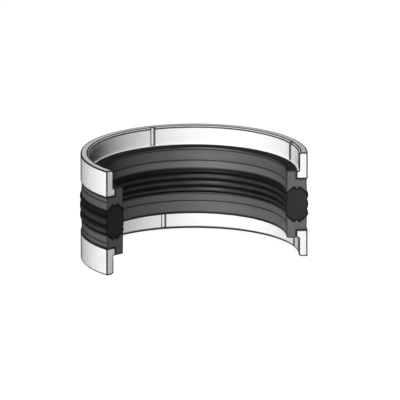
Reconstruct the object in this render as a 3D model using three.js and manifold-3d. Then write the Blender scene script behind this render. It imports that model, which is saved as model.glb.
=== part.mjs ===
// A double-acting piston seal set, cut away to show its section.
// Five rings share one axis: a ribbed rubber sealing ring in the middle, a back-up ring above and
// below it, and an L-section guide ring at each end. A wedge is cut out of all five, so that both
// ends of every ring show the section.
import * as THREE from "three";
import { mergeGeometries, mergeVertices } from "three/addons/utils/BufferGeometryUtils.js";
import Module from "manifold-3d";

const wasm = await Module();
wasm.setup();

// Driving dimensions in millimetres. Radii are measured from the ring axis and heights from the
// mid-plane of the set; the lower half mirrors the upper half.
const BORE_R = 40; // cylinder bore that the set seals
const HALF_HEIGHT = 18.9; // mid-plane to the end face of a guide ring
const SEAM = 0.12; // gap left between neighbouring rings

const KEPT_ANGLE = THREE.MathUtils.degToRad(220); // arc left after the cutaway, starting at +X
const ARC_SEGMENTS = 44; // 5 degrees each, so that a facet edge falls on +Y and -X

const LEG_INNER_R = 36.95; // guide ring, upright leg
const FOOT_INNER_R = 36.05; // guide ring, foot under the leg
const FOOT_TOP_Z = 12.2;
const FOOT_BOTTOM_Z = 9.33;
const END_CHAMFER_R = 0.7;
const END_CHAMFER_Z = 0.5;

const RELIEF_COUNT = 4; // pressure relief grooves around a full guide ring
const RELIEF_WIDTH = 1.2;
const RELIEF_DEPTH = 0.85;
const UPPER_RELIEF_START = THREE.MathUtils.degToRad(23.3);
const LOWER_RELIEF_START = THREE.MathUtils.degToRad(17);

const GROOVE_R = 32.6; // back-up ring bore, which sits on the piston's groove diameter
const BACKUP_OUTER_R = 39.66;
const BACKUP_FLARE_Z = 7.4; // below this height both walls flare out to the lips
const LIP_OUTER_R = 39.8;
const LIP_INNER_R = 32.45;
const UPSTAND_CHAMFER = 0.3;

const PEAK_OUTER_R = 37.1; // the two ridges on the end of the rubber, and the notch between them
const PEAK_INNER_R = 35.3;
const PEAK_Z = 6.5;
const NOTCH_Z = 5.3;
const PEAK_ROUND = 0.4;
const NOTCH_ROUND = 0.25;
const FLANK_SLOPE = 0.87; // height lost per radial millimetre on either side of the ridges
const ROUND_STEPS = 2;

const OUTER_CREST_R = 40.25; // three ribs press on the cylinder wall
const OUTER_VALLEY_R = 39.65;
const OUTER_PITCH = 3.6;
const INNER_CREST_R = 32.2; // four ribs press on the piston
const INNER_VALLEY_R = 32.6;
const INNER_PITCH = 2.4;
const CREST_ROUND = 0.25;
const OUTER_RIB_STEPS = 4;
const INNER_RIB_STEPS = 4;

const POM = new THREE.MeshStandardMaterial({ color: 0xf2f2ee, roughness: 0.45, metalness: 0 });
const POLYESTER = new THREE.MeshStandardMaterial({ color: 0x6d6d6f, roughness: 0.55, metalness: 0 });
const RUBBER = new THREE.MeshStandardMaterial({ color: 0x242426, roughness: 0.7, metalness: 0 });

// Replaces the corners of an open polyline, each [r, z, radius], by arcs. A radius of 0 stays sharp.
function roundCorners(corners) {
  return corners.flatMap(([r, z, radius = 0], i) => {
    if (radius === 0) return [[r, z]];
    const corner = new THREE.Vector2(r, z);
    const toPrevious = new THREE.Vector2(...corners[i - 1]).sub(corner).normalize();
    const toNext = new THREE.Vector2(...corners[i + 1]).sub(corner).normalize();
    const halfAngle = Math.acos(toPrevious.dot(toNext)) / 2;
    const bisector = toPrevious.clone().add(toNext).normalize();
    const centre = corner.clone().addScaledVector(bisector, radius / Math.sin(halfAngle));
    const start = corner.clone().addScaledVector(toPrevious, radius / Math.tan(halfAngle)).sub(centre);
    const turn = Math.sign(toNext.cross(toPrevious)) * (Math.PI - 2 * halfAngle);
    return Array.from({ length: ROUND_STEPS + 1 }, (_, step) => {
      const point = start.clone().rotateAround(new THREE.Vector2(), (turn * step) / ROUND_STEPS);
      return point.add(centre).toArray();
    });
  });
}

// One rib of a sealing face: an arc over its crest, where t runs from -1 at the valley below to 1
// at the valley above.
function rib(crestZ, halfPitch, valleyR, crestR, [fromT, toT], steps) {
  const rise = crestR - valleyR;
  const radius = (halfPitch ** 2 + rise ** 2) / (2 * Math.abs(rise));
  const halfAngle = Math.asin(halfPitch / radius);
  return Array.from({ length: steps + 1 }, (_, i) => {
    const angle = halfAngle * (fromT + ((toT - fromT) * i) / steps);
    const drop = Math.sign(rise) * radius * (1 - Math.cos(angle));
    return [crestR - drop, crestZ + radius * Math.sin(angle)];
  });
}

// The stepped joint face between the rubber and a back-up ring, from its outer to its inner edge.
function jointFace(outerR, innerR, lift, cornerRound = 0) {
  const outerZ = PEAK_Z - FLANK_SLOPE * (outerR - PEAK_OUTER_R) + lift;
  const innerZ = PEAK_Z - FLANK_SLOPE * (PEAK_INNER_R - innerR) + lift;
  return [
    [outerR, outerZ, cornerRound],
    [PEAK_OUTER_R, PEAK_Z + lift, PEAK_ROUND],
    [(PEAK_OUTER_R + PEAK_INNER_R) / 2, NOTCH_Z + lift, NOTCH_ROUND],
    [PEAK_INNER_R, PEAK_Z + lift, PEAK_ROUND],
    [innerR, innerZ, cornerRound],
  ];
}

function mirrored(outline) {
  return outline.map(([r, z]) => [r, -z]).reverse();
}

// Outlines run up the outer side, across the top and down the inner side.
function guideOutline() {
  return [
    [FOOT_INNER_R, FOOT_BOTTOM_Z],
    [BORE_R, FOOT_BOTTOM_Z],
    [BORE_R, HALF_HEIGHT],
    [LEG_INNER_R + END_CHAMFER_R, HALF_HEIGHT],
    [LEG_INNER_R, HALF_HEIGHT - END_CHAMFER_Z],
    [LEG_INNER_R, FOOT_TOP_Z],
    [FOOT_INNER_R, FOOT_TOP_Z],
  ];
}

function backupOutline() {
  const shoulderZ = FOOT_BOTTOM_Z - SEAM;
  return [
    ...roundCorners(jointFace(LIP_OUTER_R, LIP_INNER_R, SEAM)).reverse(),
    [BACKUP_OUTER_R, BACKUP_FLARE_Z],
    [BACKUP_OUTER_R, shoulderZ],
    [FOOT_INNER_R - SEAM, shoulderZ],
    [FOOT_INNER_R - SEAM, FOOT_TOP_Z],
    [GROOVE_R + UPSTAND_CHAMFER, FOOT_TOP_Z],
    [GROOVE_R, FOOT_TOP_Z - UPSTAND_CHAMFER],
    [GROOVE_R, BACKUP_FLARE_Z],
  ];
}

function sealOutline() {
  const outerRib = (z, span, steps) =>
    rib(z, OUTER_PITCH / 2, OUTER_VALLEY_R, OUTER_CREST_R, span, steps);
  const innerRib = (z, span, steps) =>
    rib(z, INNER_PITCH / 2, INNER_VALLEY_R, INNER_CREST_R, span, steps);
  const outerTop = outerRib(OUTER_PITCH, [-1, 0], OUTER_RIB_STEPS / 2);
  const innerTop = innerRib(1.5 * INNER_PITCH, [0, -1], INNER_RIB_STEPS / 2);
  const top = roundCorners([
    outerTop.at(-1),
    ...jointFace(OUTER_CREST_R, INNER_CREST_R, 0, CREST_ROUND),
    innerTop[0],
  ]).slice(1, -1);
  const middleRib = outerRib(0, [-1, 1], OUTER_RIB_STEPS);
  const innerUpperRib = innerRib(INNER_PITCH / 2, [1, -1], INNER_RIB_STEPS);
  const upperHalf = [...outerTop.slice(1), ...top, ...innerTop, ...innerUpperRib.slice(1, -1)];
  const innerMiddle = [[INNER_VALLEY_R, 0]];
  return [...middleRib, ...upperHalf, ...innerMiddle, ...mirrored(upperHalf)];
}

function positionOnly(geometry) {
  geometry.deleteAttribute("normal");
  geometry.deleteAttribute("uv");
  return geometry;
}

function toManifold(geometry) {
  const merged = mergeVertices(positionOnly(geometry), 1e-4);
  const vertProperties = new Float32Array(merged.attributes.position.array);
  const triVerts = new Uint32Array(merged.index.array);
  return new wasm.Manifold(new wasm.Mesh({ numProp: 3, vertProperties, triVerts }));
}

function toGeometry(manifold) {
  const { vertProperties, triVerts } = manifold.getMesh();
  const geometry = new THREE.BufferGeometry();
  geometry.setAttribute("position", new THREE.BufferAttribute(vertProperties, 3));
  geometry.setIndex(new THREE.BufferAttribute(triVerts, 1));
  const faceted = geometry.toNonIndexed();
  faceted.computeVertexNormals();
  return faceted;
}

function turnedInsideOut(geometry) {
  const index = geometry.index.array;
  for (let i = 0; i < index.length; i += 3) {
    [index[i + 1], index[i + 2]] = [index[i + 2], index[i + 1]];
  }
  return geometry;
}

// Sweeps an outline round the +Z axis through the kept arc and closes both ends of the cutaway.
function cutawayRing(outline) {
  const closed = [...outline, outline[0]].map(([r, z]) => new THREE.Vector2(r, z));
  const wall = new THREE.LatheGeometry(closed, ARC_SEGMENTS, Math.PI / 2, KEPT_ANGLE);
  wall.rotateX(Math.PI / 2);
  const startFace = new THREE.ShapeGeometry(new THREE.Shape(closed.slice(0, -1)));
  startFace.rotateX(Math.PI / 2);
  const endFace = turnedInsideOut(startFace.clone().rotateZ(KEPT_ANGLE));
  return toManifold(mergeGeometries([wall, startFace, endFace].map(positionOnly)));
}

// Relief grooves run up the inner face of a guide ring's leg and out through its end.
function reliefGrooves(startAngle, upOrDown) {
  const height = HALF_HEIGHT - FOOT_TOP_Z;
  return Array.from({ length: RELIEF_COUNT }, (_, i) => {
    const box = new THREE.BoxGeometry(2 * RELIEF_DEPTH, RELIEF_WIDTH, 2 * height);
    box.translate(LEG_INNER_R, 0, upOrDown * (FOOT_TOP_Z + height));
    box.rotateZ(startAngle + (i * 2 * Math.PI) / RELIEF_COUNT);
    return toManifold(box);
  });
}

function guideRing(outline, reliefs) {
  return toGeometry(reliefs.reduce((ring, groove) => ring.subtract(groove), cutawayRing(outline)));
}

function namedMesh(name, geometry, material) {
  const mesh = new THREE.Mesh(geometry, material);
  mesh.name = name;
  return mesh;
}

// The ring axis is parallel to Z. It is moved off the origin so that the origin lies under the
// middle of the cut-away set, on the plane of its lower end face.
function pistonSealSet() {
  const set = new THREE.Group();
  const guide = guideOutline();
  const backup = backupOutline();
  const lowerGuide = guideRing(mirrored(guide), reliefGrooves(LOWER_RELIEF_START, -1));
  const upperGuide = guideRing(guide, reliefGrooves(UPPER_RELIEF_START, 1));
  set.add(
    namedMesh("guide_ring_lower", lowerGuide, POM),
    namedMesh("backup_ring_lower", toGeometry(cutawayRing(mirrored(backup))), POLYESTER),
    namedMesh("seal_element", toGeometry(cutawayRing(sealOutline())), RUBBER),
    namedMesh("backup_ring_upper", toGeometry(cutawayRing(backup)), POLYESTER),
    namedMesh("guide_ring_upper", upperGuide, POM),
  );
  const nearestY = OUTER_CREST_R * Math.sin(KEPT_ANGLE);
  set.position.set(0, -(OUTER_CREST_R + nearestY) / 2, HALF_HEIGHT);
  return set;
}

export default pistonSealSet();
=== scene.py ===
"""Looks of the cut-away piston seal set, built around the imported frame."""
import math

import bmesh
import bpy
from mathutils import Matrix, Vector


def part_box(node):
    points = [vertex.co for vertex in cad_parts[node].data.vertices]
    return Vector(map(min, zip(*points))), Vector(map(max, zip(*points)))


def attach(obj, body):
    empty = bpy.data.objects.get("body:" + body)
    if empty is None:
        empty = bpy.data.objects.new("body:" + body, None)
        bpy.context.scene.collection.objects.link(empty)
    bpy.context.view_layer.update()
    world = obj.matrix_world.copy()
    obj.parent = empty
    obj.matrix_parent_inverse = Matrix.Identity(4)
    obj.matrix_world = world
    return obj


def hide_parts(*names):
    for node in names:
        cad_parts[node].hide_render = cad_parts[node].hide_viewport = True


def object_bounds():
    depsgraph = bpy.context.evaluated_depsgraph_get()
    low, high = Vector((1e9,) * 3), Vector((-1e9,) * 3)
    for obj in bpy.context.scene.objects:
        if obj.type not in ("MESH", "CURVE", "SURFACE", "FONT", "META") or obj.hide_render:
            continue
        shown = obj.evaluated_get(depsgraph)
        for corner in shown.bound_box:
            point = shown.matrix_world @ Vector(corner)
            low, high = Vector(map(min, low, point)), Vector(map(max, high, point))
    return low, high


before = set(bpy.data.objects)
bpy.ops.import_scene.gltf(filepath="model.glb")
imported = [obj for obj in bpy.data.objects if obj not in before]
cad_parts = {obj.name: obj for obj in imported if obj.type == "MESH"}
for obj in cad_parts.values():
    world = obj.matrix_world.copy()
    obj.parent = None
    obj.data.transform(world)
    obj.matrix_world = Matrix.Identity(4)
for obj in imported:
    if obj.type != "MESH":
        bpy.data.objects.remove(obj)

MM = 0.001
cad_low, cad_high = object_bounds()

# The ring axis, the arc left by the cutaway and the main steps of the section come from the frame.
guide_low, guide_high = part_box("guide_ring_upper")
backup_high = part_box("backup_ring_upper")[1]
seal_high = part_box("seal_element")[1]
BORE_R = guide_high.x / MM
AXIS_Y = guide_high.y - guide_high.x
MID_Z = (cad_low.z + cad_high.z) / 2
HALF_HEIGHT = (cad_high.z - MID_Z) / MM
FOOT_BOTTOM_Z = (guide_low.z - MID_Z) / MM
FOOT_TOP_Z = (backup_high.z - MID_Z) / MM
OUTER_CREST_R = seal_high.x / MM
KEPT_ANGLE = math.pi - math.asin((guide_low.y - AXIS_Y) / guide_high.x)

# The rest of the section, in millimetres: radii from the ring axis, heights from the mid-plane.
SEAM = 0.12
LEG_INNER_R = 36.95
FOOT_INNER_R = 36.05
END_CHAMFER_R, END_CHAMFER_Z = 0.7, 0.5
RELIEF_WIDTH, RELIEF_DEPTH = 1.2, 0.85
RELIEF_WALL = 0.01
RELIEF_DRAFT = 0.02
UPPER_RELIEFS = [math.radians(a) for a in (23.3, 113.3, 203.3)]
LOWER_RELIEFS = [math.radians(a) for a in (17, 107, 197)]
GROOVE_R = 32.6
BACKUP_OUTER_R = 39.66
BACKUP_FLARE_Z = 7.4
FLARE_LINE_HALF, FLARE_LINE_DEPTH = 0.16, 0.20
LIP_OUTER_R, LIP_INNER_R = 39.8, 32.45
PEAK_OUTER_R, PEAK_INNER_R = 37.1, 35.3
PEAK_Z, NOTCH_Z = 6.5, 5.3
FLANK_SLOPE = 0.87
OUTER_VALLEY_R, OUTER_PITCH = 39.65, 3.6
INNER_CREST_R, INNER_VALLEY_R, INNER_PITCH = 32.2, 32.6, 2.4

# Radii of the rounded corners, in millimetres.
GUIDE_FOOT_ROUND = 0.12
GUIDE_SHOULDER_ROUND = 0.14
GUIDE_END_ROUND = 0.16
GUIDE_CHAMFER_ROUND = 0.2
GUIDE_FILLET = 0.18
BACKUP_LIP_ROUND = 0.1
BACKUP_SHOULDER_ROUND = 0.16
BACKUP_FILLET = 0.12
UPSTAND_OUTER_ROUND, UPSTAND_INNER_ROUND = 0.16, 0.34
PEAK_ROUND, NOTCH_ROUND = 0.4, 0.25

# Edges that carry a dark line, as (radius, height, reach): the line fades out that far from its edge.
SECOND_LINE_DROP = 0.85
UPPER_GUIDE_EDGES = [
    (BORE_R, HALF_HEIGHT, 0.56),
    (LEG_INNER_R + END_CHAMFER_R, HALF_HEIGHT, 0.36),
    (LEG_INNER_R, HALF_HEIGHT - END_CHAMFER_Z, 0.36),
    (BORE_R, FOOT_BOTTOM_Z, 0.42),
    (FOOT_INNER_R, FOOT_TOP_Z, 0.55),
]
LOWER_GUIDE_EDGES = [
    (BORE_R, HALF_HEIGHT, 0.46),
    # The end chamfer's line reaches far: a drawn line that also paints shade on the chamfer, which faces
    # down.
    (LEG_INNER_R + END_CHAMFER_R / 2, HALF_HEIGHT - END_CHAMFER_Z / 2, 1.0),
    (BORE_R, FOOT_BOTTOM_Z, 0.30),
]
UPPER_BACKUP_EDGES = [
    (GROOVE_R, FOOT_TOP_Z, 0.48),
    (GROOVE_R, FOOT_TOP_Z - SECOND_LINE_DROP, 0.24),
    (BACKUP_OUTER_R, FOOT_BOTTOM_Z - SEAM, 0.46),
]
LOWER_BACKUP_EDGES = [
    (GROOVE_R, FOOT_TOP_Z, 1.15),
    (BACKUP_OUTER_R, FOOT_BOTTOM_Z - SEAM, 0.46),
]

# How finely the rings are drawn. Lengths are in millimetres.
ARC_STEPS = 300
CORNER_STEPS = 5
RIB_STEPS = 24
FLAT_GUARD = 0.02
RUBBER_SPACING = 0.14
RUBBER_SOFTENING = 3
CUT_BEVEL = 0.06
CUT_BEVEL_STEPS = 3
MITRE_LIMIT = 0.6
STRAIGHT_TOLERANCE = 1e-4
SHARP_ANGLE = math.radians(38)

# The leg's inner face, as a relief groove finds it, starts this far inside the leg and above the foot.
LEG_MARGIN_R, LEG_MARGIN_Z = 0.2, 0.02

# The stage, the lights and the camera, in metres. The lens and the sensor are in millimetres.
FLOOR_HALF_WIDTH = 6.0
FLOOR_GAP = 0.0002
LIGHT_DISTANCE = 1.2
WORLD_LEVEL = 0.02
CAMERA_ELEVATION = math.radians(15.2)
CAMERA_LENS = 1200
CAMERA_CLIP_END = 50
SENSOR = 36
FRAME_WIDTH = 0.1410
SET_LEFT_OF_CENTRE = 0.00208
SET_BELOW_CENTRE = 0.00154
VIEW_GAMMA = 0.8


# ---- Section outlines: each runs up the outer side, across the top and down the inner side ----

def lerp(a, b, t):
    """The point a share t of the way from a to b."""
    return tuple(x + (y - x) * t for x, y in zip(a, b))


def rounded(corners):
    """A closed outline through corners (r, z, radius), each replaced by an arc of that radius.

    A point just off each end of an arc keeps the flats beside it evenly shaded.
    """
    points = []
    for i, (r, z, radius) in enumerate(corners):
        corner = Vector((r, z))
        before = Vector(corners[i - 1][:2]) - corner
        after = Vector(corners[(i + 1) % len(corners)][:2]) - corner
        before.normalize()
        after.normalize()
        half = math.acos(max(-1.0, min(1.0, before.dot(after)))) / 2
        if radius == 0 or math.pi / 2 - half < STRAIGHT_TOLERANCE:
            points.append((r, z))
            continue
        reach = radius / math.tan(half)
        centre = corner + (before + after).normalized() * (radius / math.sin(half))
        start = corner + before * reach - centre
        end = corner + after * reach - centre
        turn = math.atan2(start.x * end.y - start.y * end.x, start.dot(end))
        points.append(tuple(corner + before * (reach + FLAT_GUARD)))
        for step in range(CORNER_STEPS + 1):
            angle = turn * step / CORNER_STEPS
            spoke = Vector((start.x * math.cos(angle) - start.y * math.sin(angle),
                            start.x * math.sin(angle) + start.y * math.cos(angle)))
            points.append(tuple(centre + spoke))
        points.append(tuple(corner + after * (reach + FLAT_GUARD)))
    return points


def mirrored(outline):
    """The outline of the same ring in the other half of the set, running the same way round."""
    return [(r, -z) for r, z in reversed(outline)]


def joint_face(outer_r, inner_r, lift, corner_round):
    """Corners of the stepped face where the rubber and a back-up ring meet, from outside to inside."""
    outer_z = PEAK_Z - FLANK_SLOPE * (outer_r - PEAK_OUTER_R) + lift
    inner_z = PEAK_Z - FLANK_SLOPE * (PEAK_INNER_R - inner_r) + lift
    return [
        (outer_r, outer_z, corner_round),
        (PEAK_OUTER_R, PEAK_Z + lift, PEAK_ROUND),
        ((PEAK_OUTER_R + PEAK_INNER_R) / 2, NOTCH_Z + lift, NOTCH_ROUND),
        (PEAK_INNER_R, PEAK_Z + lift, PEAK_ROUND),
        (inner_r, inner_z, corner_round),
    ]


def guide_outline():
    """The L section of the upper guide ring, from the inner edge of its foot."""
    return rounded([
        (FOOT_INNER_R, FOOT_BOTTOM_Z, GUIDE_FOOT_ROUND),
        (BORE_R, FOOT_BOTTOM_Z, GUIDE_SHOULDER_ROUND),
        (BORE_R, HALF_HEIGHT, GUIDE_END_ROUND),
        (LEG_INNER_R + END_CHAMFER_R, HALF_HEIGHT, GUIDE_END_ROUND),
        (LEG_INNER_R, HALF_HEIGHT - END_CHAMFER_Z, GUIDE_CHAMFER_ROUND),
        (LEG_INNER_R, FOOT_TOP_Z, GUIDE_FILLET),
        (FOOT_INNER_R, FOOT_TOP_Z, GUIDE_FOOT_ROUND),
    ])


def flare_line(r, inwards):
    """Corners of the fine line that marks where a back-up ring starts to flare, from its lower end."""
    return [
        (r, BACKUP_FLARE_Z - FLARE_LINE_HALF, 0),
        (r + inwards * FLARE_LINE_DEPTH, BACKUP_FLARE_Z, 0),
        (r, BACKUP_FLARE_Z + FLARE_LINE_HALF, 0),
    ]


def backup_outline():
    """The section of the upper back-up ring: the joint face below, a shoulder and the upstand above."""
    shoulder_z = FOOT_BOTTOM_Z - SEAM
    upstand_r = FOOT_INNER_R - SEAM
    underside = joint_face(LIP_OUTER_R, LIP_INNER_R, SEAM, BACKUP_LIP_ROUND)
    return rounded([
        *reversed(underside),
        *flare_line(BACKUP_OUTER_R, -1),
        (BACKUP_OUTER_R, shoulder_z, BACKUP_SHOULDER_ROUND),
        (upstand_r, shoulder_z, BACKUP_FILLET),
        (upstand_r, FOOT_TOP_Z, UPSTAND_OUTER_ROUND),
        (GROOVE_R, FOOT_TOP_Z, UPSTAND_INNER_ROUND),
        *reversed(flare_line(GROOVE_R, 1)),
    ])


def rib(crest_z, half_pitch, valley_r, crest_r, span):
    """One rib of a sealing face as an arc, its span running from -1 at the lower valley to 1."""
    rise = crest_r - valley_r
    radius = (half_pitch ** 2 + rise ** 2) / (2 * abs(rise))
    half_angle = math.asin(half_pitch / radius)
    points = []
    for i in range(RIB_STEPS + 1):
        angle = half_angle * (span[0] + (span[1] - span[0]) * i / RIB_STEPS)
        drop = math.copysign(radius * (1 - math.cos(angle)), rise)
        points.append((crest_r - drop, crest_z + radius * math.sin(angle)))
    return points


def resampled(outline, spacing):
    """The closed outline again, with its points evenly spaced."""
    closed = outline + outline[:1]
    lengths = [math.dist(a, b) for a, b in zip(closed, closed[1:])]
    count = round(sum(lengths) / spacing)
    step = sum(lengths) / count
    points, covered, edge = [], 0.0, 0
    for i in range(count):
        while covered + lengths[edge] < i * step:
            covered += lengths[edge]
            edge += 1
        points.append(lerp(closed[edge], closed[edge + 1], (i * step - covered) / lengths[edge]))
    return points


def softened(outline, rounds):
    """The closed outline with its corners eased by repeated averaging."""
    for _ in range(rounds):
        following = outline[1:] + outline[:1]
        outline = [
            tuple(here / 2 + (last + coming) / 4 for last, here, coming in zip(outline[i - 1], point, after))
            for i, (point, after) in enumerate(zip(outline, following))
        ]
    return outline


def seal_outline():
    """The section of the rubber: ribs on both sides, and a joint face at each end."""
    outer = [rib(k * OUTER_PITCH, OUTER_PITCH / 2, OUTER_VALLEY_R, OUTER_CREST_R, span)
             for k, span in ((-1, (0, 1)), (0, (-1, 1)), (1, (-1, 0)))]
    inner = [rib(k * INNER_PITCH, INNER_PITCH / 2, INNER_VALLEY_R, INNER_CREST_R, span)
             for k, span in ((1.5, (0, -1)), (0.5, (1, -1)), (-0.5, (1, -1)), (-1.5, (1, 0)))]
    top = rounded(joint_face(OUTER_CREST_R, INNER_CREST_R, 0, 0) + [(PEAK_INNER_R, 0, 0)])[:-1]
    bottom = mirrored(top)
    points = [p for arc in outer for p in arc] + top + [p for arc in inner for p in arc] + bottom
    return softened(resampled(points, RUBBER_SPACING), RUBBER_SOFTENING)


def inset(outline, distance):
    """The outline moved inwards, for the bevel round a cut face."""
    moved = []
    for i, point in enumerate(outline):
        here = Vector(point)
        back = (here - Vector(outline[i - 1])).normalized()
        ahead = (Vector(outline[(i + 1) % len(outline)]) - here).normalized()
        along = (back + ahead).normalized()
        inward = Vector((-along.y, along.x))
        moved.append(tuple(here + inward * distance / max(MITRE_LIMIT, along.dot(back))))
    return moved


# ---- Ring meshes ----

def place(r, z, azimuth):
    """A point of a section in the shared frame, in metres."""
    return Vector((r * MM * math.cos(azimuth), AXIS_Y + r * MM * math.sin(azimuth), MID_Z + z * MM))


def relieved(outline, azimuth, reliefs):
    """The guide ring's outline at an azimuth, pushed out to the groove's floor inside a relief.

    The slight draft of the floor keeps the points of the outline apart.
    """
    if not any(abs(azimuth - centre) * LEG_INNER_R < RELIEF_WIDTH / 2 for centre in reliefs):
        return outline
    floor_r = LEG_INNER_R + RELIEF_DEPTH
    points = []
    for r, z in outline:
        on_leg = LEG_INNER_R - LEG_MARGIN_R < r < floor_r and abs(z) > FOOT_TOP_Z + LEG_MARGIN_Z
        points.append((floor_r + (r - LEG_INNER_R) * RELIEF_DRAFT, z) if on_leg else (r, z))
    return points


def azimuths(reliefs):
    """Evenly spaced azimuths through the kept arc, with a close pair at each wall of a relief groove."""
    bevel = CUT_BEVEL / BORE_R
    first, last = bevel, KEPT_ANGLE - bevel
    found = {first + (last - first) * i / ARC_STEPS for i in range(ARC_STEPS + 1)}
    for centre in reliefs:
        for side in (-1, 1):
            for offset in (-RELIEF_WALL, RELIEF_WALL):
                found.add(centre + (side * RELIEF_WIDTH / 2 + offset) / LEG_INNER_R)
    return sorted(found)


def ring_sections(outline, reliefs):
    """(azimuth, outline) pairs along the ring, with a rounded bevel at each cut face."""
    sections = [(a, relieved(outline, a, reliefs)) for a in azimuths(reliefs)]
    first, last = sections[0][1], sections[-1][1]
    for step in range(1, CUT_BEVEL_STEPS + 1):
        angle = math.pi / 2 * step / CUT_BEVEL_STEPS
        along = CUT_BEVEL * (1 - math.sin(angle)) / BORE_R
        inwards = CUT_BEVEL * (1 - math.cos(angle))
        sections.insert(0, (along, inset(first, inwards)))
        sections.append((KEPT_ANGLE - along, inset(last, inwards)))
    return sections


def ring_object(name, outline, material, reliefs):
    """The outline swept through the kept arc.

    Its faces carry two marks for the material: "cut" on the cut faces, "wall" on the walls of the reliefs.
    """
    sections = ring_sections(outline, reliefs)
    bm = bmesh.new()
    cut = bm.faces.layers.float.new("cut")
    wall = bm.faces.layers.float.new("wall")
    loops = []
    for azimuth, points in sections:
        loops.append([bm.verts.new(place(r, z, azimuth)) for r, z in points])
    for k, (here, there) in enumerate(zip(loops, loops[1:])):
        for i in range(len(here)):
            face = bm.faces.new((here[i - 1], there[i - 1], there[i], here[i]))
            face.smooth = True
            face[wall] = float(abs(sections[k][1][i][0] - sections[k + 1][1][i][0]) > RELIEF_DEPTH / 2)
    for loop in (loops[0], loops[-1][::-1]):
        face = bm.faces.new(loop)
        face[cut] = 1.0
    bm.normal_update()
    for edge in bm.edges:
        edge.smooth = edge.calc_face_angle(0.0) < SHARP_ANGLE
    mesh = bpy.data.meshes.new(name)
    bm.to_mesh(mesh)
    bm.free()
    mesh.materials.append(material)
    obj = bpy.data.objects.new(name, mesh)
    bpy.context.scene.collection.objects.link(obj)
    return obj


# ---- Shader tools ----

AO_SAMPLES = 8
FLAT_FACE_COSINE = 0.8
# The radius at which the length along the arc is taken, in millimetres.
ARC_LENGTH_R = 36.0
# The share of a line's reach that is fully dark, and how closed in a place is where a rim begins.
LINE_CORE = 0.55
RIM_START = 0.05
# Spans for ramps: where a wall turns edge-on, and the usual values of fine and of coarse noise.
EDGE_ON = (0.84, 0.92)
NOISE = (0.3, 0.7)
CLOUD = (0.35, 0.65)


class Shader:
    """A Principled material whose nodes are added by short calls. A value is a socket or a number."""

    def __init__(self, name):
        self.material = bpy.data.materials.new(name)
        self.material.use_nodes = True
        self.nodes = self.material.node_tree.nodes
        self.links = self.material.node_tree.links
        self.principled = self.nodes["Principled BSDF"]

    def feed(self, socket, value):
        if isinstance(value, bpy.types.NodeSocket):
            self.links.new(value, socket)
        else:
            socket.default_value = value

    def add(self, kind, inputs=(), output=0, **settings):
        """Adds a node, and returns the output of it that is asked for."""
        node = self.nodes.new(kind)
        for key, value in settings.items():
            setattr(node, key, value)
        for key, value in dict(inputs).items():
            self.feed(node.inputs[key], value)
        return node.outputs[output]

    def math(self, operation, a, b=0.0, clamp=False):
        return self.add("ShaderNodeMath", {0: a, 1: b}, operation=operation, use_clamp=clamp)

    def plus(self, a, b, clamp=False):
        return self.math("ADD", a, b, clamp)

    def times(self, a, b):
        return self.math("MULTIPLY", a, b)

    def inverse(self, value, clamp=False):
        """One minus the value."""
        return self.math("SUBTRACT", 1.0, value, clamp)

    def vector(self, operation, a, b, output="Vector"):
        return self.add("ShaderNodeVectorMath", {0: a, 1: b}, output, operation=operation)

    def combine(self, x, y, z):
        return self.add("ShaderNodeCombineXYZ", {0: x, 1: y, 2: z})

    def split(self, vector):
        """The x, y and z of a vector."""
        node = self.nodes.new("ShaderNodeSeparateXYZ")
        self.feed(node.inputs[0], vector)
        return tuple(node.outputs)

    def noise(self, vector, frequency, detail=3.0, rough=0.5):
        """Noise with about that many cells in one unit of the vector."""
        inputs = {"Vector": vector, "Scale": frequency, "Detail": detail, "Roughness": rough}
        return self.add("ShaderNodeTexNoise", inputs)

    def streaks(self, place, frequencies, shift=0.0, detail=4.0, rough=0.6):
        """Noise with its own frequency along each of the two or three lengths in place."""
        x, y, *rest = [self.times(length, frequency) for length, frequency in zip(place, frequencies)]
        z = self.plus(rest[0], shift) if rest else shift
        return self.noise(self.combine(x, y, z), 1.0, detail, rough)

    def ramp(self, value, span, to=(0.0, 1.0)):
        """Eases from one number of to to the other as the value crosses the span."""
        inputs = {"Value": value, "From Min": span[0], "From Max": span[1], "To Min": to[0], "To Max": to[1]}
        return self.add("ShaderNodeMapRange", inputs, interpolation_type="SMOOTHSTEP")

    def mix(self, factor, a, b):
        return self.plus(self.times(self.math("SUBTRACT", b, a), factor), a)

    def mix_colour(self, factor, a, b):
        node = self.nodes.new("ShaderNodeMix")
        node.data_type = "RGBA"
        colours = [s for s in node.inputs if s.type == "RGBA"]
        self.feed(node.inputs["Factor"], factor)
        self.feed(colours[0], a)
        self.feed(colours[1], b)
        return [s for s in node.outputs if s.type == "RGBA"][0]

    def coat(self, base, top, mask, strength=1.0):
        """The base colour with the top colour over it where the mask is 1, at that strength."""
        return self.mix_colour(self.times(mask, strength), base, top)

    def attribute(self, name):
        return self.add("ShaderNodeAttribute", output="Fac", attribute_name=name)

    def bump(self, height, depth_mm):
        return self.add("ShaderNodeBump", {"Height": height, "Distance": depth_mm * MM, "Strength": 1.0})

    def hidden(self, reach_mm, inside=False):
        """How closed in a place is, 0 to 1: crevices, or with inside the strips along outer edges."""
        inputs = {"Distance": reach_mm * MM}
        seen = self.add("ShaderNodeAmbientOcclusion", inputs, "AO", inside=inside, samples=AO_SAMPLES)
        return self.inverse(seen, clamp=True)

    def rim(self, reach_mm, full):
        """0 to 1 on a strip along outer edges, reaching 1 where the place is that closed in."""
        return self.ramp(self.hidden(reach_mm, inside=True), (RIM_START, full))

    def finish(self, **inputs):
        """Feeds the Principled node and returns the material."""
        for key, value in inputs.items():
            self.feed(self.principled.inputs[key.replace("_", " ")], value)
        return self.material


def grey(level, warm=0.0):
    """A near-neutral colour from a linear grey level, shifted a little towards yellow by warm."""
    return (level * (1 + warm), level, level * (1 - warm), 1.0)


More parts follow.
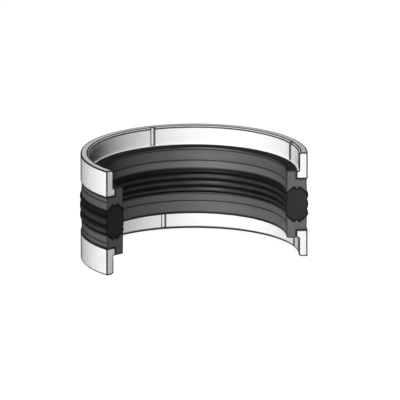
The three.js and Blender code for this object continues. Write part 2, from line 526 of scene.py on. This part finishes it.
def ring_space(s):
    """The place on a ring, in millimetres: the position, radius, height and length along the arc."""
    at = s.add("ShaderNodeTexCoord", output="Object")
    centred = s.vector("SUBTRACT", at, (0.0, AXIS_Y, MID_Z))
    position = s.add("ShaderNodeVectorMath", {0: centred, "Scale": 1 / MM}, operation="SCALE")
    # Turned so that the jump of the arc tangent falls in the removed wedge.
    turn = {"Vector": position, "Angle": -KEPT_ANGLE / 2}
    x, y, z = s.split(s.add("ShaderNodeVectorRotate", turn, rotation_type="Z_AXIS"))
    radius = s.math("SQRT", s.plus(s.times(x, x), s.times(y, y)))
    arc = s.times(s.math("ARCTAN2", y, x), ARC_LENGTH_R)
    return position, radius, z, arc


def near_edges(s, radius, height, edges):
    """1 along the circular edges, at both ends of the set, fading to 0 at the reach of each."""
    here = s.combine(radius, s.math("ABSOLUTE", height), 0.0)
    found = 0.0
    for edge_r, edge_z, reach in edges:
        gap = s.vector("DISTANCE", here, (edge_r, edge_z, 0.0), "Value")
        found = s.math("MAXIMUM", s.ramp(gap, (reach, reach * LINE_CORE)), found)
    return found


def upward(s):
    """How far a surface faces up: 1 for straight up, 0 for a wall, -1 for straight down."""
    return s.split(s.add("ShaderNodeNewGeometry", output="Normal"))[2]


def flat_face(s):
    """1 on flat faces across the ring axis, 0 on walls round it."""
    return s.math("GREATER_THAN", s.math("ABSOLUTE", upward(s)), FLAT_FACE_COSINE)


def silhouette(s):
    """1 on round walls where they turn edge-on to the eye, 0 elsewhere."""
    edge_on = s.ramp(s.add("ShaderNodeLayerWeight", output="Facing"), EDGE_ON)
    return s.times(edge_on, s.inverse(flat_face(s)))


# ---- Materials: frequencies are per millimetre, depths and reaches in millimetres ----

ACETAL_PALE, ACETAL_DULL = grey(0.84, 0.003), grey(0.79, 0.007)
ACETAL_SPECK = grey(0.45, 0.05)
ACETAL_LINE = grey(0.02)
# The rim grey also paints shade in crevices.
ACETAL_RIM_AND_SHADE = grey(0.03)
RELIEF_WALL_SHADE = grey(0.12)
LATHE_PITCH, LATHE_WAVER = 0.24, 0.35
ACETAL_SEED_STEP = 7.0

# The line grey also paints shade in crevices.
POLYESTER_LINE_AND_SHADE = grey(0.01)
# The rim grey also paints shade on the flat ledges.
POLYESTER_RIM_AND_SHADE = grey(0.02)
POLYESTER_SCUFF = grey(0.21)
POLYESTER_SHINE = 0.9
POLYESTER_SEED_STEP = (5.0, 3.0)

RUBBER_MOULDED = grey(0.006), grey(0.014, -0.02)
# The rubbed grey is also painted light on rib flanks that face level or up.
RUBBER_RUBBED_AND_LIT = grey(0.046), grey(0.066, -0.01)
RUBBER_CUT = grey(0.034), grey(0.044, -0.01)
# The crevice grey is painted shade in the valleys between ribs.
RUBBER_CREVICE_SHADE, RUBBER_RIM = grey(0.002), grey(0.003)
RUBBER_SEED = 3.0
# The radii between which a rib turns from moulded to rubbed, inside and outside.
INNER_RUBBING = (INNER_VALLEY_R - 0.18, INNER_CREST_R + 0.05)
OUTER_RUBBING = (OUTER_VALLEY_R + 0.25, OUTER_CREST_R - 0.05)

FLOOR_GREYS = grey(0.11), grey(0.13)
FLOOR_SPOTS_PER_METRE = 3.0
FLOOR_GLOW = 0.97
FLOOR_SHADED_SHARE = 0.88
FLOOR_SHADE_REACH = 25.0


def acetal(name, seed, edges):
    """Off-white turned acetal: fine lathe marks, faint bands and clouds, specks, and sawn cut faces.

    Thin dark lines run along its edges and its silhouette, as they do in the photo.
    """
    s = Shader(name)
    position, radius, height, arc = ring_space(s)
    cut = s.attribute("cut")
    across = s.mix(flat_face(s), height, radius)
    waver = s.times(s.noise(s.combine(arc, height, seed), frequency=0.12, detail=2.0), LATHE_WAVER)
    lathe = s.math("SINE", s.times(s.plus(across, waver), 2 * math.pi / LATHE_PITCH))
    bands = s.streaks((arc, across), (0.02, 1.6), seed)
    cloud = s.noise(s.vector("ADD", position, (seed * ACETAL_SEED_STEP, 0.0, 0.0)), frequency=0.11)
    saw = s.streaks((radius, height), (0.25, 5.0), seed, rough=0.65)
    specks = s.ramp(s.noise(position, frequency=1.7, detail=2.0), (0.70, 0.78))
    line = s.times(near_edges(s, radius, height, edges), s.inverse(cut))

    tone = s.mix(cut, s.ramp(bands, NOISE, to=(0.0, 0.5)), s.ramp(saw, NOISE, to=(0.0, 0.6)))
    tone = s.plus(tone, s.ramp(cloud, CLOUD, to=(0.0, 0.5)), clamp=True)
    colour = s.mix_colour(tone, ACETAL_PALE, ACETAL_DULL)
    colour = s.coat(colour, ACETAL_SPECK, specks, strength=0.06)
    # Dark lines along the listed edges; the one on the lower ring's end chamfer also paints shade there.
    colour = s.coat(colour, ACETAL_LINE, line, strength=0.9)
    colour = s.coat(colour, ACETAL_LINE, silhouette(s), strength=0.85)
    colour = s.coat(colour, ACETAL_RIM_AND_SHADE, s.rim(reach_mm=0.55, full=s.mix(cut, 0.24, 0.13)))
    colour = s.coat(colour, RELIEF_WALL_SHADE, s.attribute("wall"), strength=0.8)
    # Painted shade in crevices.
    colour = s.coat(colour, ACETAL_RIM_AND_SHADE, s.ramp(s.hidden(reach_mm=0.4), (0.15, 0.50)))
    rough = s.mix(cut, s.ramp(bands, NOISE, to=(0.34, 0.48)), s.ramp(saw, NOISE, to=(0.5, 0.68)))
    marks = s.mix(cut, s.plus(s.times(lathe, 0.25), bands), s.times(saw, 2.0))
    return s.finish(Base_Color=colour, Roughness=rough, IOR=1.48, Subsurface_Weight=0.12,
                    Subsurface_Radius=(1.0, 0.95, 0.85), Subsurface_Scale=0.6 * MM,
                    Normal=s.bump(marks, depth_mm=0.012))


def polyester(name, seed, level, lip_light_and_shade_level, edges):
    """Dark grey moulded polyester elastomer: satin, with flow lines, faint scuffs and dark rims.

    The ledges of the steps are dull and painted near black as shade. The flare on the inside gets its own
    grey as painted light and shade: lighter on the upper ring, darker on the lower.
    """
    s = Shader(name)
    position, radius, height, arc = ring_space(s)
    cut = s.attribute("cut")
    uncut = s.inverse(cut)
    step_x, step_y = POLYESTER_SEED_STEP
    shifted = s.vector("ADD", position, (seed * step_x, seed * step_y, 0.0))
    grain = s.noise(shifted, frequency=3.2, rough=0.6)
    flow = s.streaks((arc, radius, height), (0.035, 0.8, 0.8), seed)
    cloud = s.noise(shifted, frequency=0.14, detail=2.0)
    saw = s.streaks((radius, height), (0.3, 4.0), seed, rough=0.65)
    scuffs = s.ramp(s.streaks((arc, radius, height), (0.25, 2.0, 2.0), detail=3.0, rough=0.5), (0.62, 0.72))
    flared = s.math("LESS_THAN", s.math("ABSOLUTE", height), BACKUP_FLARE_Z)
    inner = s.math("LESS_THAN", radius, (GROOVE_R + BACKUP_OUTER_R) / 2)
    lip_light_and_shade = s.times(s.times(flared, inner), uncut)
    line = s.times(near_edges(s, radius, height, edges), uncut)
    crevice_shade = s.ramp(s.hidden(reach_mm=0.9), (0.08, 0.40))
    dull_shaded_ledge = s.times(flat_face(s), uncut)

    tone = s.times(s.mix(cut, s.ramp(flow, NOISE), s.ramp(saw, NOISE)), 0.6)
    tone = s.plus(tone, s.ramp(cloud, CLOUD, to=(0.0, 0.4)), clamp=True)
    colour = s.mix_colour(tone, grey(level * 0.92, -0.01), grey(level * 1.08))
    # Painted light and shade on the inner flare: lighter on the upper ring, darker on the lower.
    colour = s.coat(colour, grey(lip_light_and_shade_level), lip_light_and_shade, strength=0.8)
    colour = s.coat(colour, POLYESTER_LINE_AND_SHADE, line)
    colour = s.coat(colour, POLYESTER_LINE_AND_SHADE, silhouette(s))
    colour = s.coat(colour, POLYESTER_RIM_AND_SHADE, s.rim(reach_mm=0.6, full=0.24), strength=s.mix(cut, 0.9, 0.75))
    # Painted shade in crevices.
    colour = s.coat(colour, POLYESTER_LINE_AND_SHADE, crevice_shade, strength=s.mix(cut, 1.0, 0.6))
    # Painted shade: flat ledges near black.
    colour = s.coat(colour, POLYESTER_RIM_AND_SHADE, dull_shaded_ledge, strength=0.8)
    colour = s.coat(colour, POLYESTER_SCUFF, scuffs, strength=s.mix(cut, 0.25, 0.05))
    rough = s.mix(cut, s.ramp(flow, NOISE, to=(0.46, 0.54)), 0.54)
    marks = s.mix(cut, s.plus(grain, s.times(flow, 0.8)), s.times(saw, 1.8))
    return s.finish(Base_Color=colour, Roughness=rough, IOR=1.65,
                    Specular_IOR_Level=s.mix(dull_shaded_ledge, POLYESTER_SHINE, 0.0),
                    Normal=s.bump(marks, depth_mm=0.014))


def rubber(name):
    """Black nitrile rubber: fine moulded grain, a faint grey bloom, crests grey from rubbing and knife-cut
    ends.

    The crest grey is partly rubbing and partly painted light: it shows only where a rib faces level or up,
    and hardly at all on the top ribs, painted as in shade.
    """
    s = Shader(name)
    position, radius, height, arc = ring_space(s)
    cut = s.attribute("cut")
    grain = s.noise(position, frequency=4.5, rough=0.65)
    bloom = s.ramp(s.noise(position, frequency=0.22, detail=4.0, rough=0.6), (0.42, 0.68))
    smear = s.streaks((arc, radius, height), (0.06, 1.2, 1.2))
    knife = s.streaks((radius, height), (0.5, 2.6), RUBBER_SEED)
    crest = s.math("MAXIMUM", s.ramp(radius, INNER_RUBBING), s.ramp(radius, OUTER_RUBBING))
    rubbed_and_painted_light = s.times(crest, s.ramp(smear, (0.2, 0.7), to=(0.7, 1.0)))
    # Painted light: the grey shows only where a rib faces level or up, as if lit from above.
    rubbed_and_painted_light = s.times(rubbed_and_painted_light, s.ramp(upward(s), (-0.25, 0.05)))
    # Painted shade: the top ribs keep hardly any of the grey.
    rubbed_and_painted_light = s.times(rubbed_and_painted_light, s.ramp(height, (OUTER_PITCH * 0.8, OUTER_PITCH), to=(1.0, 0.1)))

    dust = s.mix(cut, s.ramp(smear, (0.35, 0.7)), s.ramp(knife, (0.35, 0.7)))
    tone = s.plus(s.times(dust, 0.5), s.times(bloom, 0.5), clamp=True)
    colour = s.mix_colour(tone, *RUBBER_MOULDED)
    colour = s.mix_colour(rubbed_and_painted_light, colour, s.mix_colour(tone, *RUBBER_RUBBED_AND_LIT))
    colour = s.mix_colour(cut, colour, s.mix_colour(tone, *RUBBER_CUT))
    # Painted shade in the valleys between ribs and in crevices.
    colour = s.coat(colour, RUBBER_CREVICE_SHADE, s.ramp(s.hidden(reach_mm=1.2), (0.08, 0.30)))
    colour = s.coat(colour, RUBBER_RIM, s.rim(reach_mm=0.6, full=0.20), strength=cut)
    rough = s.mix(cut, s.ramp(smear, NOISE, to=(0.46, 0.60)), s.ramp(knife, NOISE, to=(0.55, 0.68)))
    marks = s.mix(cut, s.plus(s.times(grain, 0.7), smear), s.times(knife, 2.0))
    return s.finish(Base_Color=colour, Roughness=rough, IOR=1.52, Specular_IOR_Level=0.4,
                    Normal=s.bump(marks, depth_mm=0.016))


def pale_floor():
    """Matt off-white sheet that glows for the camera alone, and a little less close to the set as a painted
    contact shadow.
    """
    s = Shader("pale_floor")
    spots = s.noise(s.add("ShaderNodeTexCoord", output="Object"), FLOOR_SPOTS_PER_METRE)
    seen = s.add("ShaderNodeLightPath", output="Is Camera Ray")
    # Painted contact shadow: the glow drops close to the set.
    glow = s.ramp(s.hidden(FLOOR_SHADE_REACH), (0.0, 1.0), to=(FLOOR_GLOW, FLOOR_GLOW * FLOOR_SHADED_SHARE))
    return s.finish(Base_Color=s.mix_colour(spots, *FLOOR_GREYS), Roughness=0.9, Specular_IOR_Level=0.1,
                    Emission_Color=grey(1.0), Emission_Strength=s.times(seen, glow))


# ---- The five rings ----

def build_rings():
    """Makes each ring and puts it on its body, in place of its CAD node, which it hides."""
    guide, backup = guide_outline(), backup_outline()
    lower_acetal = acetal("acetal_lower", seed=2.0, edges=LOWER_GUIDE_EDGES)
    # The two back-up rings are one polyester: the lower one's level is set higher as painted light, for the
    # light it gets less of, and the lip levels paint the upper flare lighter and the lower darker.
    lower_polyester = polyester("polyester_lower", seed=1.0, level=0.141, lip_light_and_shade_level=0.136,
                                edges=LOWER_BACKUP_EDGES)
    nitrile = rubber("nitrile_rubber")
    upper_polyester = polyester("polyester_upper", seed=4.0, level=0.131, lip_light_and_shade_level=0.156,
                                edges=UPPER_BACKUP_EDGES)
    upper_acetal = acetal("acetal_upper", seed=5.0, edges=UPPER_GUIDE_EDGES)
    rings = [
        ("guide_ring_lower", "lower_guide", "guide_pom", mirrored(guide), lower_acetal, LOWER_RELIEFS),
        ("backup_ring_lower", "lower_backup", "backup_polyester", mirrored(backup), lower_polyester, ()),
        ("seal_element", "seal", "seal_rubber", seal_outline(), nitrile, ()),
        ("backup_ring_upper", "upper_backup", "backup_polyester", backup, upper_polyester, ()),
        ("guide_ring_upper", "upper_guide", "guide_pom", guide, upper_acetal, UPPER_RELIEFS),
    ]
    for node, body, slot, outline, material, reliefs in rings:
        ring = ring_object(node + "_fine", outline, material, reliefs)
        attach(ring, body)
        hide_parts(node)


# ---- Stage, lights and camera ----

def build_floor():
    """One wide sheet just under the set."""
    mesh = bpy.data.meshes.new("floor")
    corners = [(x * FLOOR_HALF_WIDTH, y * FLOOR_HALF_WIDTH, cad_low.z - FLOOR_GAP)
               for x, y in ((-1, -1), (1, -1), (1, 1), (-1, 1))]
    mesh.from_pydata(corners, [], [(0, 1, 2, 3)])
    mesh.materials.append(pale_floor())
    floor = bpy.data.objects.new("floor", mesh)
    bpy.context.scene.collection.objects.link(floor)


def softbox(name, azimuth, elevation, width, watts, shadows=True, diffuse=True, glossy=True):
    """A square area light aimed at the set. Azimuth 0 is on the camera's side, positive to its right."""
    azimuth, elevation = math.radians(azimuth), math.radians(elevation)
    away = Vector((math.sin(azimuth) * math.cos(elevation), -math.cos(azimuth) * math.cos(elevation),
                   math.sin(elevation)))
    light = bpy.data.lights.new(name, "AREA")
    light.size = width
    light.energy = watts
    light.use_shadow = shadows
    lamp = bpy.data.objects.new(name, light)
    lamp.location = Vector((0, AXIS_Y, MID_Z)) + away * LIGHT_DISTANCE
    lamp.rotation_euler = (-away).to_track_quat("-Z", "Y").to_euler()
    lamp.visible_camera = False
    lamp.visible_diffuse = diffuse
    lamp.visible_glossy = glossy
    bpy.context.scene.collection.objects.link(lamp)


def build_lights():
    """Four softboxes and a dim world that looks white to the camera."""
    softbox("key", azimuth=-23.5, elevation=30, width=0.25, watts=21.0, shadows=False)
    softbox("glint", azimuth=-115, elevation=10, width=0.4, watts=0.9, shadows=False, diffuse=False)
    softbox("rear_right", azimuth=116, elevation=0, width=0.12, watts=12.5)
    softbox("rear_left", azimuth=180, elevation=0, width=0.12, watts=12.5, glossy=False)
    world = bpy.data.worlds.new("studio")
    world.use_nodes = True
    background = world.node_tree.nodes["Background"]
    background.inputs["Color"].default_value = grey(1.0)
    seen = world.node_tree.nodes.new("ShaderNodeLightPath").outputs["Is Camera Ray"]
    level = world.node_tree.nodes.new("ShaderNodeMath")
    level.operation = "MAXIMUM"
    level.inputs[1].default_value = WORLD_LEVEL
    world.node_tree.links.new(seen, level.inputs[0])
    world.node_tree.links.new(level.outputs[0], background.inputs["Strength"])
    bpy.context.scene.world = world


def build_camera():
    """A very long lens, so that the view is close to parallel, as in the photo."""
    camera = bpy.data.cameras.new("camera")
    camera.lens = CAMERA_LENS
    camera.sensor_width = SENSOR
    camera.clip_end = CAMERA_CLIP_END
    eye = bpy.data.objects.new("camera", camera)
    back = Vector((0, -math.cos(CAMERA_ELEVATION), math.sin(CAMERA_ELEVATION)))
    up = Vector((0, math.sin(CAMERA_ELEVATION), math.cos(CAMERA_ELEVATION)))
    target = Vector((SET_LEFT_OF_CENTRE, AXIS_Y, MID_Z)) + up * SET_BELOW_CENTRE
    eye.location = target + back * FRAME_WIDTH * CAMERA_LENS / SENSOR
    eye.rotation_euler = (-back).to_track_quat("-Z", "Y").to_euler()
    bpy.context.scene.collection.objects.link(eye)
    bpy.context.scene.camera = eye


build_rings()
build_floor()
build_lights()
build_camera()
bpy.context.scene.view_settings.view_transform = "Standard"
bpy.context.scene.view_settings.gamma = VIEW_GAMMA
